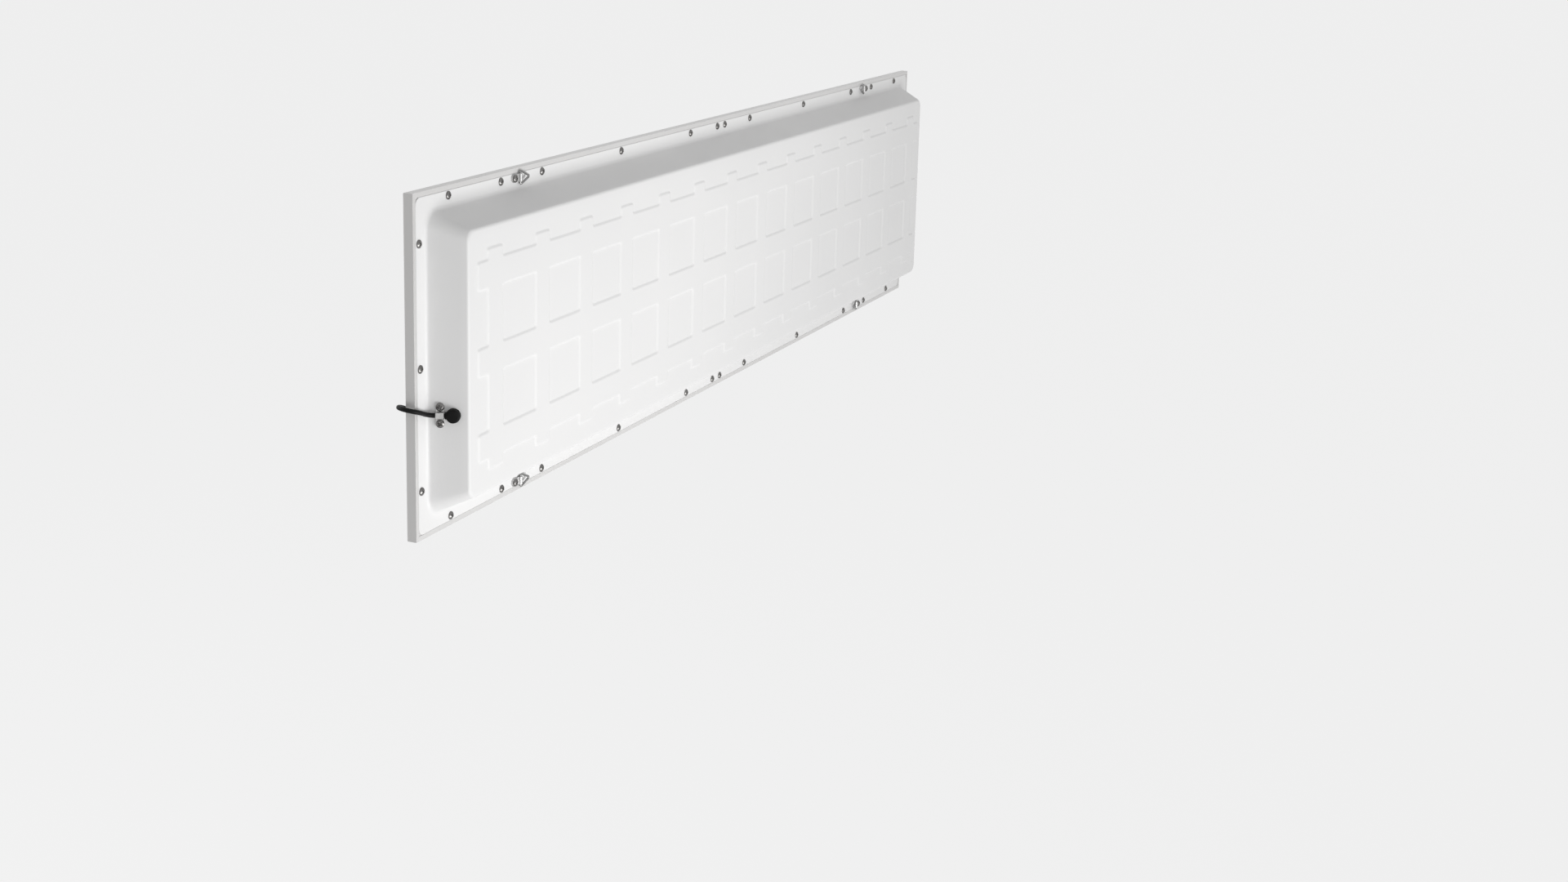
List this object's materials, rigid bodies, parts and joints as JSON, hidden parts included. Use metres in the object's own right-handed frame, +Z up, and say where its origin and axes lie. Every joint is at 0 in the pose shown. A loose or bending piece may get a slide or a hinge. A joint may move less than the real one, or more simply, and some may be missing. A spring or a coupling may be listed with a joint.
{
  "type": "led panel light",
  "caption": "Rectangular backlit ceiling panel: aluminium frame, opal diffuser, ribbed white steel back pan, folding wire hanging rings and a short plug-ended lead.",
  "frame": {"origin": "centre of the front bezel's outer plane, where the panel lies on its ceiling grid", "axes": "+X along the panel towards the supply lead, +Y out of the back, +Z up the short side; the lit front faces -Y"},
  "size_m": [1.204, 0.0553, 0.295],
  "materials": {
    "frame_aluminium": "satin anodised",
    "key_steel": "zinc plated",
    "opal_diffuser": "opal, lit from behind",
    "seal_foam": "closed-cell foam",
    "white_powder_coat": "fine satin powder coat",
    "nickel_screw": "dark nickel",
    "zinc_plate": "zinc plated",
    "zinc_wire": "drawn wire, zinc plated",
    "white_board": "white solder mask on an aluminium core",
    "thermal_tape": "adhesive",
    "led_phosphor": "phosphor",
    "clear_lens": "clear acrylic",
    "connector_nylon": "natural nylon",
    "white_reflector": "diffuse white film",
    "wire_insulation": "thin PVC insulation",
    "black_rubber": "moulded",
    "black_cable": "smooth PVC sheath",
    "black_plug": "moulded, fine ribs",
    "nickel_contact": "nickel plated"
  },
  "bodies": {
    "panel": {"frame_rail_bottom": "frame_aluminium", "frame_rail_top": "frame_aluminium", "frame_rail_left": "frame_aluminium", "frame_rail_right": "frame_aluminium", "corner_key_bottom_left": "key_steel", "corner_key_bottom_right": "key_steel", "corner_key_top_left": "key_steel", "corner_key_top_right": "key_steel", "diffuser_plate": "opal_diffuser", "foam_seal": "seal_foam", "back_pan": "white_powder_coat", "flange_screws": "nickel_screw", "hanger_screws": "nickel_screw", "clip_screws": "nickel_screw", "hanger_strap_bottom_left": "zinc_plate", "hanger_strap_bottom_right": "zinc_plate", "hanger_strap_top_left": "zinc_plate", "hanger_strap_top_right": "zinc_plate", "led_strip_bottom": "white_board", "led_strip_middle": "white_board", "led_strip_top": "white_board", "strip_tapes": "thermal_tape", "led_chips": "led_phosphor", "led_lenses": "clear_lens", "strip_connectors": "connector_nylon", "reflector_sheet": "white_reflector", "jumper_wires": "wire_insulation", "supply_wires": "wire_insulation", "cable_grommet": "black_rubber", "cable_clip": "zinc_plate", "cable": "black_cable", "plug_body": "black_plug", "plug_barrel": "nickel_contact", "plug_contact": "nickel_contact"},
    "ring_bottom_left": {"hanger_ring_bottom_left": "zinc_wire"},
    "ring_bottom_right": {"hanger_ring_bottom_right": "zinc_wire"},
    "ring_top_left": {"hanger_ring_top_left": "zinc_wire"},
    "ring_top_right": {"hanger_ring_top_right": "zinc_wire"}
  },
  "joints": [
    {"name": "ring_bottom_left_fold", "type": "hinge", "parent": "panel", "child": "ring_bottom_left", "pos_m": [-0.4286, 0.01138, -0.1389], "axis": [0, 0, 1], "range_deg": [-6, 144]},
    {"name": "ring_bottom_right_fold", "type": "hinge", "parent": "panel", "child": "ring_bottom_right", "pos_m": [0.4286, 0.01138, -0.1389], "axis": [0, 0, -1], "range_deg": [-6, 144]},
    {"name": "ring_top_left_fold", "type": "hinge", "parent": "panel", "child": "ring_top_left", "pos_m": [-0.4286, 0.01138, 0.1389], "axis": [0, 0, 1], "range_deg": [-6, 144]},
    {"name": "ring_top_right_fold", "type": "hinge", "parent": "panel", "child": "ring_top_right", "pos_m": [0.4286, 0.01138, 0.1389], "axis": [0, 0, -1], "range_deg": [-6, 144]}
  ]
}
